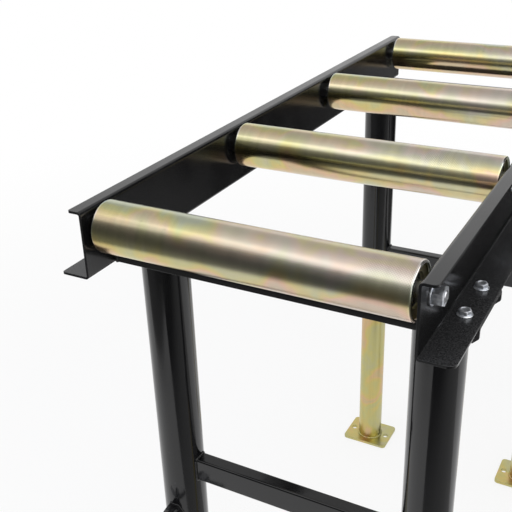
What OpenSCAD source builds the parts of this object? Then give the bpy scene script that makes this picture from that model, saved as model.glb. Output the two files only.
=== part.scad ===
// Height-adjustable roller stand: four steel rollers between two channel rails on telescopic legs.
// X runs along the rollers, Y along the rails, Z up. The origin is on the floor, below the middle.

/* [Frame] */
// Length of the two side rails
frame_len = 1000; // [900:10:1300]
// Height of a rail, from its bottom flange to its top flange
rail_h = 81; // [76:1:100]
// Sheet thickness of the rails
rail_t = 3; // [2:0.5:4]
// Width of the narrow top flange, from the web's inner face
top_flange_w = 18; // [14:1:26]
// Width of the wide bottom flange, from the web's inner face
bottom_flange_w = 38; // [32:1:50]
// Inside radius of the bends in the rails, cross bars and saddles
bend_in_r = 2; // [0.5:0.25:3]
// Corner radius of the top flange at a rail's round end
top_corner_r = 6; // [2:1:9]
// Corner radius of the bottom flange at a rail's round end
bottom_corner_r = 9; // [3:1:14]
// Corner radius of both flanges at a rail's other end
tight_corner_r = 3; // [1:0.5:5]

/* [Rollers] */
// Outside diameter of a roller
roller_d = 60; // [56:1:66]
// Length of a roller's tube
roller_len = 360; // [300:5:500]
// Wall of a roller's tube
roller_wall = 3; // [2.5:0.25:4]
// Radius rolled onto the ends of the tube
roller_edge_r = 2; // [1:0.25:2.25]
// Gap between a roller's end and the rail beside it
roller_gap = 7; // [4:0.5:12]
// Height of the rollers' tops above the rails
roller_proud = 3; // [1:0.5:6]
// Distance from the end of the rails to the axis of the first and last roller
roller_inset = 33.5; // [32:0.5:45]

/* [Bearing cups] */
// Depth of the cup's face inside the end of the tube
cup_recess = 4; // [2:0.5:8]
// Sheet thickness of the cups
cup_t = 2.5; // [2:0.25:3]
// Length of the skirt that is pressed into the tube
cup_skirt_len = 16; // [12:1:30]
// How far the cup's face covers the bearing's outer ring
cup_cover = 2; // [1:0.25:2.5]

/* [Bearings and axles] */
// Diameter of the axle in the bearings
axle_d = 17; // [15:0.5:18]
// Outside diameter of the ball bearings
bearing_d = 40; // [39:0.5:42]
// Width of the ball bearings
bearing_w = 12; // [10:0.5:14]
// Diameter of the balls
ball_d = 6.7; // [6:0.1:7]
// Thickness of the bearings' seals
seal_t = 1; // [0.6:0.1:1.5]
// Diameter of the axle's threaded ends
thread_d = 12; // [10:0.5:14]
// Width across the flats of the axle nuts
axle_nut_af = 19; // [18:0.5:22]
// Height of the axle nuts
axle_nut_h = 10.8; // [8:0.2:12]
// Diameter of the washers under the axle nuts
axle_washer_d = 24; // [22:0.5:28]
// Thickness of the washers under the axle nuts
axle_washer_t = 2; // [1.5:0.25:3]
// Outside diameter of the spacer sleeves on the axle
spacer_d = 22; // [21:0.5:24]

/* [Cross bars] */
// Distance from the end of the rails to a cross bar
bar_inset = 52; // [40:1:70]
// Width of a cross bar
bar_w = 40; // [30:1:60]
// Height of a cross bar
bar_h = 11; // [8:0.5:12]
// Sheet thickness of the cross bars
bar_t = 3; // [2:0.5:3.5]

/* [Legs] */
// Height of the rollers' tops above the floor, as the legs are set
work_h = 900; // [850:5:960]
// Distance from the end of the rails to the axis of a leg
leg_inset = 128; // [120:1:200]
// Distance from a rail's web inwards to the axis of a leg
leg_offset = 12; // [8:1:24]
// Outside diameter of the outer tubes
outer_d = 60; // [52:1:66]
// Wall of the outer tubes
outer_wall = 4; // [3:0.25:5]
// Length of the outer tubes
outer_len = 435; // [400:5:480]
// Running clearance between the outer and inner tubes, on the radius
leg_clear = 0.5; // [0.4:0.1:0.8]
// Wall of the inner tubes
inner_wall = 3; // [2:0.5:4]
// Length of the inner tubes
inner_len = 580; // [560:5:620]
// Length of inner tube that always stays inside the outer one
leg_overlap = 109; // [90:1:120]

/* [Saddles] */
// Width of a saddle, along the rail
saddle_w = 90; // [84:1:110]
// Depth of a saddle's downturned cheeks, below the rail
saddle_h = 19.5; // [14:0.5:30]
// Sheet thickness of the saddles
saddle_t = 4; // [3:0.5:5]
// Size of the cut corners of the cheeks
saddle_corner = 6; // [3:0.5:9]
// Distance between the two bolts of a saddle
saddle_bolt_pitch = 62; // [58:1:66]
// Diameter of the saddle bolts
bolt_d = 8; // [6:0.5:8]
// Width across the flats of the saddle bolts and their nuts
bolt_af = 12; // [11:0.5:14]
// Diameter of the flange under a bolt's head
bolt_flange_d = 16.4; // [15:0.2:19]
// Height of a saddle bolt's head with its flange
bolt_head_h = 6; // [5:0.5:9]
// Height of the saddle nuts
bolt_nut_h = 6.5; // [5:0.5:8]

/* [Braces] */
// Distance from the rails' bottom down to the top of a brace
brace_drop = 324; // [280:2:340]
// Height of a brace
brace_h = 35; // [25:1:40]
// Depth of a brace, along the rails
brace_d = 20; // [15:1:30]
// Wall of a brace
brace_t = 2; // [1.5:0.25:3]
// Outside corner radius of a brace
brace_r = 3; // [3:0.25:5]

/* [Clamp screws] */
// Height of a clamp screw's axis above the lower end of the outer tube
clamp_rise = 30; // [20:1:34]
// Diameter of a clamp screw
clamp_d = 12; // [10:0.5:14]
// Width across the flats of the welded clamp nut
clamp_nut_af = 22; // [20:0.5:26]
// Length of the clamp nut, from the tube's side
clamp_nut_len = 12; // [9:0.5:16]
// Free length of a clamp screw between its nut and its head
clamp_free = 10; // [6:0.5:16]
// Diameter of a clamp screw's head
clamp_head_d = 20; // [18:0.5:24]
// Length of a clamp screw's head
clamp_head_len = 16; // [14:0.5:24]
// Diameter of the handle bar through the head
clamp_bar_d = 8; // [6:0.5:10]
// Length of the handle bar
clamp_bar_len = 70; // [50:1:80]

/* [Feet] */
// Length of a foot plate, across the stand
foot_len = 100; // [94:1:110]
// Width of a foot plate, along the stand
foot_w = 80; // [64:1:100]
// Thickness of a foot plate
foot_t = 6; // [4:0.5:10]
// Corner radius of a foot plate
foot_corner_r = 8; // [3:1:14]
// Diameter of the two floor bolt holes in a foot plate
foot_hole_d = 11; // [8:0.5:12]
// Distance between the two floor bolt holes in a foot plate
foot_hole_pitch = 76; // [74:0.5:78]

/* [Hidden] */
$fn = 96;

// Which side and which end of the stand a piece belongs to
left = -1;
right = 1;
front = -1;
rear = 1;
roller_count = 4;

// Radial clearance of pieces that are pressed or slid together
seat_clear = 0.05;
// Radial clearance of a bolt in its hole
hole_clear = 0.5;
// Gap left between pieces that move past each other
run_gap = 0.3;
// Gap that a weld bead fills where a flat piece meets a round tube
weld_gap = 0.2;
// How far a cut runs past the face that it opens
overrun = 1;
// Chamfer on the ends of threads and on nuts
chamfer = 1;

// Frame
rail_gap = roller_len + 2 * roller_gap;
web_in_x = rail_gap / 2;
web_out_x = web_in_x + rail_t;
frame_w = rail_gap + 2 * bottom_flange_w;
rail_top_z = work_h - roller_proud;
rail_bottom_z = rail_top_z - rail_h;
roller_z = work_h - roller_d / 2;
roller_pitch = (frame_len - 2 * roller_inset) / (roller_count - 1);

// Roller ends: the cup's face, then the bearing behind it
tube_in_r = roller_d / 2 - roller_wall;
cup_face_x = roller_len / 2 - cup_recess;
bearing_face_x = cup_face_x - cup_t;
cup_hub_r = bearing_d / 2 + seat_clear + cup_t;

// Bearing: ring shoulders stand at equal distances from the balls' circle
ball_count = 8;
ball_circle_r = (axle_d + bearing_d) / 4;
shoulder_share = 0.3;
inner_ring_r = ball_circle_r - shoulder_share * ball_d;
outer_ring_r = ball_circle_r + shoulder_share * ball_d;
// Clearance of the balls in the inner and the outer groove
inner_groove_r = ball_d / 2 + run_gap;
outer_groove_r = ball_d / 2 + seat_clear;
seal_inset = seal_t / 2;

// Legs
leg_x = web_in_x - leg_offset;
leg_y = frame_len / 2 - leg_inset;
saddle_bottom_z = rail_bottom_z - saddle_t;
outer_bottom_z = saddle_bottom_z - outer_len;
inner_d = outer_d - 2 * outer_wall - 2 * leg_clear;
saddle_len = frame_w - 2 * leg_x;
saddle_bolt_x = web_in_x + bottom_flange_w / 2;
brace_top_z = rail_bottom_z - brace_drop;
clamp_z = outer_bottom_z + clamp_rise;

// How far an inner leg can be drawn out, and pushed in until it meets the saddle
leg_out_travel = foot_t + inner_len - outer_bottom_z - leg_overlap;
leg_in_travel = saddle_bottom_z - foot_t - inner_len - overrun;
echo(leg_out_travel = leg_out_travel, leg_in_travel = leg_in_travel);
echo(frame_w = frame_w, roller_pitch = roller_pitch, roller_z = roller_z, leg_x = leg_x, leg_y = leg_y);
echo(clamp_z = clamp_z, outer_bottom_z = outer_bottom_z, rail_bottom_z = rail_bottom_z);

function roller_y(number) = -frame_len / 2 + roller_inset + (number - 1) * roller_pitch;

// Bar stock along the rollers, centred on the stand's middle
module along_x() {
    rotate([0, 90, 0]) children();
}

// A flat outline in Y and Z, drawn out along the rollers
module extrude_x(len) {
    rotate([90, 0, 90]) linear_extrude(len, center = true) children();
}

// Places a piece at both ends of a roller, the left one mirrored
module both_ends() {
    children();
    mirror([1, 0, 0]) children();
}

module at_roller(number) {
    translate([0, roller_y(number), roller_z]) children();
}

// Places a piece at a leg's axis, turned so that +X points outwards and +Y to the stand's end
module at_leg(side, end) {
    translate([side * leg_x, end * leg_y, 0])
        mirror([side < 0 ? 1 : 0, 0, 0])
            mirror([0, end < 0 ? 1 : 0, 0])
                children();
}

module at_all_legs() {
    for (side = [left, right], end = [front, rear]) at_leg(side, end) children();
}

// Quarter ring of bent sheet around the origin, in the lower left quadrant
module bend(thickness) {
    outer_r = bend_in_r + thickness;
    intersection() {
        difference() {
            circle(outer_r);
            circle(bend_in_r);
        }
        translate([-outer_r, -outer_r]) square(outer_r);
    }
}

// Section of a channel with its open side down, its top at zero
module channel_section(width, height, thickness) {
    outer_r = bend_in_r + thickness;
    translate([-width / 2 + outer_r, -thickness]) square([width - 2 * outer_r, thickness]);
    for (side = [0, 1]) mirror([side, 0]) {
        translate([-width / 2, -height]) square([thickness, height - outer_r]);
        translate([-width / 2 + outer_r, -outer_r]) mirror([0, 1]) bend(thickness);
    }
}

// Rectangle with its middle at the origin and round corners
module round_rectangle(width, height, corner_r) {
    square([width - 2 * corner_r, height], center = true);
    square([width, height - 2 * corner_r], center = true);
    for (x = [-1, 1], y = [-1, 1])
        translate([x * (width / 2 - corner_r), y * (height / 2 - corner_r)]) circle(corner_r);
}

// Hexagonal bar along Z with the corners of its upper end turned off
module hexagon(across_flats, height) {
    corner_r = across_flats / sqrt(3);
    intersection() {
        cylinder(h = height, r = corner_r, $fn = 6);
        union() {
            cylinder(h = height - chamfer, r = corner_r + overrun);
            translate([0, 0, height - chamfer])
                cylinder(h = chamfer, r1 = corner_r, r2 = across_flats / 2 - chamfer / 2);
        }
    }
}

// Rear half of a flange, from the bend outwards, with one round outer corner
module half_flange(width, corner_r) {
    bend_out_r = bend_in_r + rail_t;
    half_len = frame_len / 2;
    translate([bend_out_r, -overrun]) square([width - bend_out_r - corner_r, half_len + overrun]);
    translate([bend_out_r, -overrun]) square([width - bend_out_r, half_len + overrun - corner_r]);
    translate([width - corner_r, half_len - corner_r]) circle(corner_r);
}

// Flange of a rail as seen from above, its round end to the front
module flange_outline(width, round_r) {
    half_flange(width, tight_corner_r);
    mirror([0, 1]) half_flange(width, round_r);
}

// Channel rail, open to the outside: web, narrow top flange, wide bottom flange.
// Both rails are alike, and the left one is turned end for end.
module rail(side) {
    bend_out_r = bend_in_r + rail_t;
    rotate([0, 0, side < 0 ? 180 : 0])
        translate([web_in_x, 0, rail_bottom_z])
            difference() {
                union() {
                    rotate([90, 0, 0]) linear_extrude(frame_len, center = true) {
                        translate([0, bend_out_r]) square([rail_t, rail_h - 2 * bend_out_r]);
                        translate([bend_out_r, bend_out_r]) bend(rail_t);
                        translate([bend_out_r, rail_h - bend_out_r]) mirror([0, 1]) bend(rail_t);
                    }
                    linear_extrude(rail_t) flange_outline(bottom_flange_w, bottom_corner_r);
                    translate([0, 0, rail_h - rail_t])
                        linear_extrude(rail_t) flange_outline(top_flange_w, top_corner_r);
                }
                for (number = [1:roller_count])
                    translate([-overrun, roller_y(number), roller_z - rail_bottom_z])
                        along_x() cylinder(h = rail_t + 2 * overrun, d = thread_d + hole_clear);
                for (end = [front, rear], bolt = [-1, 1])
                    translate([
                        saddle_bolt_x - web_in_x,
                        end * leg_y + bolt * saddle_bolt_pitch / 2,
                        -overrun
                    ]) cylinder(h = rail_t + 2 * overrun, d = bolt_d + 2 * hole_clear);
            }
}

// Shallow channel between the rails, level with their bottom
module cross_bar(end) {
    bar_y = frame_len / 2 - bar_inset - bar_w / 2;
    color("#1d1d1f")
        translate([0, end * bar_y, rail_bottom_z + bar_h])
            extrude_x(rail_gap) channel_section(bar_w, bar_h, bar_t);
}

// Steel axle: a thick shaft between the webs and a thread through each web
module axle(number) {
    thread_end_x = web_out_x + axle_washer_t + axle_nut_h + chamfer;
    color("#b9bcc0") at_roller(number) along_x() {
        cylinder(h = rail_gap, d = axle_d, center = true);
        cylinder(h = 2 * (thread_end_x - chamfer), d = thread_d, center = true);
        for (end = [0, 1]) mirror([0, 0, end])
            translate([0, 0, thread_end_x - chamfer])
                cylinder(h = chamfer, d1 = thread_d, d2 = thread_d - 2 * chamfer);
    }
}

// Sleeve on each axle end, between the bearing's inner ring and the web
module axle_spacers() {
    color("#b9bcc0") for (number = [1:roller_count]) at_roller(number) both_ends()
        translate([bearing_face_x, 0, 0]) along_x()
            difference() {
                cylinder(h = web_in_x - bearing_face_x, d = spacer_d);
                translate([0, 0, -overrun])
                    cylinder(h = rail_gap, d = axle_d + 2 * seat_clear);
            }
}

module axle_washers() {
    color("#c9cbd0") for (number = [1:roller_count]) at_roller(number) both_ends()
        translate([web_out_x, 0, 0]) along_x()
            difference() {
                cylinder(h = axle_washer_t, d = axle_washer_d);
                translate([0, 0, -overrun])
                    cylinder(h = axle_washer_t + 2 * overrun, d = thread_d + hole_clear);
            }
}

module axle_nuts() {
    color("#c9cbd0") for (number = [1:roller_count]) at_roller(number) both_ends()
        translate([web_out_x + axle_washer_t, 0, 0]) along_x()
            difference() {
                hexagon(axle_nut_af, axle_nut_h);
                translate([0, 0, -overrun])
                    cylinder(h = axle_nut_h + 2 * overrun, d = thread_d + 2 * seat_clear);
            }
}

// Section of a bearing ring between two radii, with the ball groove cut into it
module ring_section(inside_r, outside_r, groove_r) {
    difference() {
        translate([inside_r, -bearing_w / 2]) square([outside_r - inside_r, bearing_w]);
        translate([ball_circle_r, 0]) circle(groove_r);
    }
}

// Places a bearing piece, drawn around Z at the origin, in both ends of a roller
module in_bearings(number) {
    at_roller(number) both_ends()
        translate([bearing_face_x - bearing_w / 2, 0, 0]) along_x() children();
}

module bearing_inner_rings() {
    color("#d4d6da") for (number = [1:roller_count]) in_bearings(number)
        rotate_extrude() ring_section(axle_d / 2 + seat_clear, inner_ring_r, inner_groove_r);
}

module bearing_outer_rings(number) {
    color("#d4d6da") in_bearings(number)
        rotate_extrude() ring_section(outer_ring_r, bearing_d / 2, outer_groove_r);
}

module bearing_balls(number) {
    color("#e2e4e8") in_bearings(number)
        for (ball = [1:ball_count])
            rotate([0, 0, ball * 360 / ball_count]) translate([ball_circle_r, 0, 0]) sphere(d = ball_d);
}

// Rubber seals, set in a little from both faces of each bearing
module bearing_seals(number) {
    seal_x = bearing_w / 2 - seal_inset - seal_t;
    color("#17171a") in_bearings(number)
        for (face = [0, 1]) mirror([0, 0, face])
            translate([0, 0, seal_x])
                difference() {
                    cylinder(h = seal_t, r = outer_ring_r - seat_clear);
                    translate([0, 0, -overrun])
                        cylinder(h = seal_t + 2 * overrun, r = inner_ring_r + run_gap);
                }
}

// Pressed cup: a face with a hole, a skirt in the tube and a hub around the bearing
module bearing_cups(number) {
    color("#b8a765") at_roller(number) both_ends() translate([cup_face_x, 0, 0]) along_x()
        rotate_extrude() {
            lip_r = bearing_d / 2 - cup_cover;
            skirt_r = tube_in_r - seat_clear;
            translate([lip_r, -cup_t]) square([skirt_r - lip_r, cup_t]);
            translate([skirt_r - cup_t, -cup_skirt_len]) square([cup_t, cup_skirt_len]);
            translate([bearing_d / 2 + seat_clear, -cup_t - bearing_w])
                square([cup_t, cup_t + bearing_w]);
        }
}

// Steel tube with rolled edges
module roller_tube(number) {
    color("#c9b878") at_roller(number) along_x()
        rotate_extrude() {
            round_x = roller_d / 2 - roller_edge_r;
            translate([tube_in_r, -roller_len / 2])
                square([roller_wall - roller_edge_r, roller_len]);
            translate([tube_in_r, roller_edge_r - roller_len / 2])
                square([roller_wall, roller_len - 2 * roller_edge_r]);
            for (end = [-1, 1])
                translate([round_x, end * (roller_len / 2 - roller_edge_r)]) circle(roller_edge_r);
        }
}

// Pressed saddle under the rail: flat top, downturned cheeks with cut corners, two bolt holes
module saddle(side, end) {
    half_len = saddle_len / 2;
    color("#1d1d1f") at_leg(side, end) translate([0, 0, rail_bottom_z]) difference() {
        intersection() {
            extrude_x(saddle_len) channel_section(saddle_w, saddle_h, saddle_t);
            rotate([90, 0, 0]) linear_extrude(saddle_w, center = true) polygon([
                [-half_len, 0],
                [half_len, 0],
                [half_len, saddle_corner - saddle_h],
                [half_len - saddle_corner, -saddle_h],
                [saddle_corner - half_len, -saddle_h],
                [-half_len, saddle_corner - saddle_h]
            ]);
        }
        for (bolt = [-1, 1])
            translate([
                saddle_bolt_x - leg_x,
                bolt * saddle_bolt_pitch / 2,
                -saddle_t - overrun
            ]) cylinder(h = saddle_t + 2 * overrun, d = bolt_d + 2 * hole_clear);
    }
}

// Places a fastener on both bolt lines of every saddle
module at_saddle_bolts() {
    at_all_legs() for (bolt = [-1, 1])
        translate([saddle_bolt_x - leg_x, bolt * saddle_bolt_pitch / 2, rail_bottom_z]) children();
}

// Flange bolts: a sloping round flange, a six-sided head dished on top, and the shank
module saddle_bolts() {
    flange_h = bolt_head_h / 4;
    dish_h = bolt_head_h / 8;
    shank_len = rail_t + saddle_t + bolt_nut_h + chamfer;
    color("#cfd3da") at_saddle_bolts() translate([0, 0, rail_t]) {
        cylinder(h = flange_h / 2, d = bolt_flange_d);
        translate([0, 0, flange_h / 2])
            cylinder(h = flange_h / 2, d1 = bolt_flange_d, d2 = bolt_af);
        difference() {
            hexagon(bolt_af, bolt_head_h);
            translate([0, 0, bolt_head_h - dish_h])
                cylinder(h = dish_h + overrun, d1 = bolt_d - dish_h, d2 = bolt_d + dish_h + overrun);
        }
        translate([0, 0, -shank_len]) cylinder(h = shank_len, d = bolt_d);
    }
}

module saddle_nuts() {
    color("#cfd3da") at_saddle_bolts() translate([0, 0, -saddle_t]) mirror([0, 0, 1])
        difference() {
            hexagon(bolt_af, bolt_nut_h);
            translate([0, 0, -overrun])
                cylinder(h = bolt_nut_h + 2 * overrun, d = bolt_d + 2 * seat_clear);
        }
}

// Outer tube of a leg, with the clamp screw's hole through its outward wall
module outer_leg(side, end) {
    color("#1d1d1f") at_leg(side, end) difference() {
        translate([0, 0, outer_bottom_z]) cylinder(h = outer_len, d = outer_d);
        translate([0, 0, outer_bottom_z - overrun])
            cylinder(h = outer_len + 2 * overrun, d = outer_d - 2 * outer_wall);
        translate([0, 0, clamp_z]) rotate([-90, 0, 0])
            cylinder(h = outer_d, d = clamp_d + 2 * hole_clear);
    }
}

// Rectangular tube between two legs, its ends cut to fit round them
module brace(end) {
    brace_len = 2 * leg_x;
    color("#1d1d1f") translate([0, end * leg_y, brace_top_z - brace_h / 2]) difference() {
        extrude_x(brace_len) difference() {
            round_rectangle(brace_d, brace_h, brace_r);
            round_rectangle(brace_d - 2 * brace_t, brace_h - 2 * brace_t, brace_r - brace_t);
        }
        for (side = [left, right])
            translate([side * leg_x, 0, 0])
                cylinder(h = brace_h + 2 * overrun, r = outer_d / 2 + weld_gap, center = true);
    }
}

// Six-sided nuts welded to the outer tubes, cut to fit round them
module clamp_nuts() {
    nut_end_y = outer_d / 2 + clamp_nut_len;
    color("#1d1d1f") at_all_legs() translate([0, 0, clamp_z]) difference() {
        rotate([-90, 0, 0]) hexagon(clamp_nut_af, nut_end_y);
        rotate([-90, 0, 0])
            cylinder(h = nut_end_y + overrun, d = clamp_d + 2 * seat_clear);
        cylinder(h = 2 * clamp_nut_af, r = outer_d / 2 + weld_gap, center = true);
    }
}

// Clamp screw: shank, turned head and a handle bar across the head
module clamp_screw(side, end) {
    tip_y = inner_d / 2 + run_gap;
    head_y = outer_d / 2 + clamp_nut_len + clamp_free;
    color("#b9bcc0") at_leg(side, end) translate([0, 0, clamp_z]) rotate([-90, 0, 0]) {
        translate([0, 0, tip_y]) cylinder(h = chamfer, d1 = clamp_d - 2 * chamfer, d2 = clamp_d);
        translate([0, 0, tip_y + chamfer]) cylinder(h = head_y - tip_y - chamfer, d = clamp_d);
        translate([0, 0, head_y]) cylinder(h = chamfer, d1 = clamp_head_d - 2 * chamfer, d2 = clamp_head_d);
        translate([0, 0, head_y + chamfer])
            cylinder(h = clamp_head_len - 2 * chamfer, d = clamp_head_d);
        translate([0, 0, head_y + clamp_head_len - chamfer])
            cylinder(h = chamfer, d1 = clamp_head_d, d2 = clamp_head_d - 2 * chamfer);
        translate([0, 0, head_y + clamp_head_len / 2]) along_x() {
            cylinder(h = clamp_bar_len, d = clamp_bar_d, center = true);
            for (tip = [-1, 1])
                translate([0, 0, tip * clamp_bar_len / 2]) sphere(d = clamp_bar_d);
        }
    }
}

module inner_leg(side, end) {
    color("#c8bd78") at_leg(side, end) translate([0, 0, foot_t]) difference() {
        cylinder(h = inner_len, d = inner_d);
        translate([0, 0, -overrun])
            cylinder(h = inner_len + 2 * overrun, d = inner_d - 2 * inner_wall);
    }
}

// Foot plate with two floor bolt holes
module foot(side, end) {
    color("#c8bd78") at_leg(side, end) difference() {
        linear_extrude(foot_t) round_rectangle(foot_len, foot_w, foot_corner_r);
        for (hole = [-1, 1])
            translate([hole * foot_hole_pitch / 2, 0, -overrun])
                cylinder(h = foot_t + 2 * overrun, d = foot_hole_d);
    }
}

module rail_left() {
    color("#232325") rail(left);
}

module rail_right() {
    color("#232325") rail(right);
}

rail_left();
rail_right();
cross_bar(front);  // cross_bar_front
cross_bar(rear);  // cross_bar_rear
axle(1);  // axle_1
axle(2);  // axle_2
axle(3);  // axle_3
axle(4);  // axle_4
axle_spacers();
axle_washers();
axle_nuts();
bearing_inner_rings();
saddle(left, front);  // saddle_front_left
saddle(right, front);  // saddle_front_right
saddle(left, rear);  // saddle_rear_left
saddle(right, rear);  // saddle_rear_right
outer_leg(left, front);  // outer_leg_front_left
outer_leg(right, front);  // outer_leg_front_right
outer_leg(left, rear);  // outer_leg_rear_left
outer_leg(right, rear);  // outer_leg_rear_right
saddle_bolts();
saddle_nuts();
brace(front);  // brace_front
brace(rear);  // brace_rear
clamp_nuts();
roller_tube(1);  // roller_tube_1
roller_tube(2);  // roller_tube_2
roller_tube(3);  // roller_tube_3
roller_tube(4);  // roller_tube_4
bearing_cups(1);  // bearing_cups_1
bearing_cups(2);  // bearing_cups_2
bearing_cups(3);  // bearing_cups_3
bearing_cups(4);  // bearing_cups_4
bearing_outer_rings(1);  // bearing_outer_rings_1
bearing_outer_rings(2);  // bearing_outer_rings_2
bearing_outer_rings(3);  // bearing_outer_rings_3
bearing_outer_rings(4);  // bearing_outer_rings_4
bearing_balls(1);  // bearing_balls_1
bearing_balls(2);  // bearing_balls_2
bearing_balls(3);  // bearing_balls_3
bearing_balls(4);  // bearing_balls_4
bearing_seals(1);  // bearing_seals_1
bearing_seals(2);  // bearing_seals_2
bearing_seals(3);  // bearing_seals_3
bearing_seals(4);  // bearing_seals_4
inner_leg(left, front);  // inner_leg_front_left
inner_leg(right, front);  // inner_leg_front_right
inner_leg(left, rear);  // inner_leg_rear_left
inner_leg(right, rear);  // inner_leg_rear_right
foot(left, front);  // foot_front_left
foot(right, front);  // foot_front_right
foot(left, rear);  // foot_rear_left
foot(right, rear);  // foot_rear_right
clamp_screw(left, front);  // clamp_screw_front_left
clamp_screw(right, front);  // clamp_screw_front_right
clamp_screw(left, rear);  // clamp_screw_rear_left
clamp_screw(right, rear);  // clamp_screw_rear_right
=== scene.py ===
# Height-adjustable roller stand, dressed around its packed construction.
from math import atan2, cos, pi, radians, sin, sqrt

import bmesh
import bpy
from mathutils import Matrix, Vector


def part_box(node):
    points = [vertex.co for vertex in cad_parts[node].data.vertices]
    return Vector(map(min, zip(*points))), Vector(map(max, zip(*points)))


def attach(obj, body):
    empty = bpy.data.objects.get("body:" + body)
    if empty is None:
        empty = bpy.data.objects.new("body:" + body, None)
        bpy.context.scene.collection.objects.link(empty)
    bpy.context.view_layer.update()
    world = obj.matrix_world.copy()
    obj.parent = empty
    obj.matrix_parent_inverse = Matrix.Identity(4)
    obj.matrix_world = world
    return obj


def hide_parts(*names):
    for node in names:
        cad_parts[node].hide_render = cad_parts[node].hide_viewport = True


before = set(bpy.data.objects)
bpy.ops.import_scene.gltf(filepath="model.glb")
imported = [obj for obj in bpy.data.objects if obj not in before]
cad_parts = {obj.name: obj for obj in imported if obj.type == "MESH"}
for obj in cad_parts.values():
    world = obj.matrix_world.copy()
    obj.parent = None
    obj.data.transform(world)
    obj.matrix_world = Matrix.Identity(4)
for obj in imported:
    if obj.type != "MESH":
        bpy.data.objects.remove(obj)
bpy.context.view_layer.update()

scene = bpy.context.scene
scene.view_settings.view_transform = "Standard"

# Camera
# It looks down over the near right corner of the stand through a short telephoto lens, and it is
# tilted a little, as the photograph is.
camera_place = Vector((0.3763, -1.1203, 1.2342))
camera_turn_left = radians(29.436)
camera_look_down = radians(25.826)
camera_tilt = radians(-2.049)
camera_data = bpy.data.cameras.new("camera")
camera_data.sensor_width = 36
camera_data.lens = 58.22
camera = bpy.data.objects.new("camera", camera_data)
camera.matrix_world = (
    Matrix.Translation(camera_place)
    @ Matrix.Rotation(camera_turn_left, 4, "Z")
    @ Matrix.Rotation(pi / 2 - camera_look_down, 4, "X")
    @ Matrix.Rotation(camera_tilt, 4, "Z")
)
scene.collection.objects.link(camera)
scene.camera = camera


# Floor and white surround
# A pale floor that runs on into a white surround. Near the stand it takes the stand's soft shadow.
def add_node(tree, kind, inputs=None, **settings):
    """Adds a node with its settings. An input is a value, or a socket to link to it."""
    node = tree.nodes.new(kind)
    for name, value in settings.items():
        setattr(node, name, value)
    for name, value in (inputs or {}).items():
        if isinstance(value, bpy.types.NodeSocket):
            tree.links.new(value, node.inputs[name])
        else:
            node.inputs[name].default_value = value
    return node


def maths(tree, operation, *values):
    """The result of a Math node on numbers or sockets."""
    return add_node(tree, "ShaderNodeMath", dict(enumerate(values)), operation=operation).outputs[0]


def smooth_step(tree, value, start, end, low=0, high=1):
    """A value eased from low to high between start and end."""
    return add_node(tree, "ShaderNodeMapRange", {"Value": value, "From Min": start, "From Max": end,
                                                 "To Min": low, "To Max": high},
                    interpolation_type="SMOOTHSTEP").outputs["Result"]


def object_place(tree):
    """The place on a piece, in Object coordinates."""
    return add_node(tree, "ShaderNodeTexCoord").outputs["Object"]


def empty_nodes(owner):
    """Switches a material or a world to nodes, and clears them."""
    owner.use_nodes = True
    owner.node_tree.nodes.clear()
    return owner.node_tree


def seen_directly(tree):
    """1 where the camera, a mirror or glass looks at this surface, and 0 where it only lights."""
    path = add_node(tree, "ShaderNodeLightPath")
    mirror = maths(tree, "MAXIMUM", path.outputs["Is Camera Ray"], path.outputs["Is Glossy Ray"])
    return maths(tree, "MAXIMUM", mirror, path.outputs["Is Transmission Ray"])


def flat_piece(name, corners):
    """A single four-cornered face of the studio."""
    mesh = bpy.data.meshes.new(name)
    mesh.from_pydata(corners, [], [(0, 1, 2, 3)])
    piece = bpy.data.objects.new(name, mesh)
    scene.collection.objects.link(piece)
    return piece


full_white = (1, 1, 1, 1)
surround_light = 0.78
surround = bpy.data.worlds.new("surround")
scene.world = surround
tree = empty_nodes(surround)
white = add_node(tree, "ShaderNodeBackground", {"Color": full_white, "Strength": 1})
fill = add_node(tree, "ShaderNodeBackground", {"Color": full_white, "Strength": surround_light})
mixed = add_node(tree, "ShaderNodeMixShader", {0: seen_directly(tree), 1: fill.outputs[0],
                                               2: white.outputs[0]})
add_node(tree, "ShaderNodeOutputWorld", {"Surface": mixed.outputs[0]})

floor_half = 14
floor_drop = 0.0004
fade_start = 0.9
fade_end = 3
glow_near = 0.8
floor = flat_piece("floor", [(x * floor_half, y * floor_half, -floor_drop)
                             for x, y in ((-1, -1), (1, -1), (1, 1), (-1, 1))])
floor_paper = bpy.data.materials.new("floor_paper")
floor.data.materials.append(floor_paper)
tree = empty_nodes(floor_paper)
paper = add_node(tree, "ShaderNodeBsdfDiffuse", {"Color": (0.92, 0.92, 0.92, 1)})
glow = add_node(tree, "ShaderNodeEmission", {"Color": full_white, "Strength": 1})
reach = add_node(tree, "ShaderNodeVectorMath", {0: object_place(tree)}, operation="LENGTH").outputs["Value"]
fade = smooth_step(tree, reach, fade_start, fade_end, glow_near, 1)
share = maths(tree, "MULTIPLY", fade, seen_directly(tree))
mixed = add_node(tree, "ShaderNodeMixShader", {0: share, 1: paper.outputs[0], 2: glow.outputs[0]})
add_node(tree, "ShaderNodeOutputMaterial", {"Surface": mixed.outputs[0]})

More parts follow.
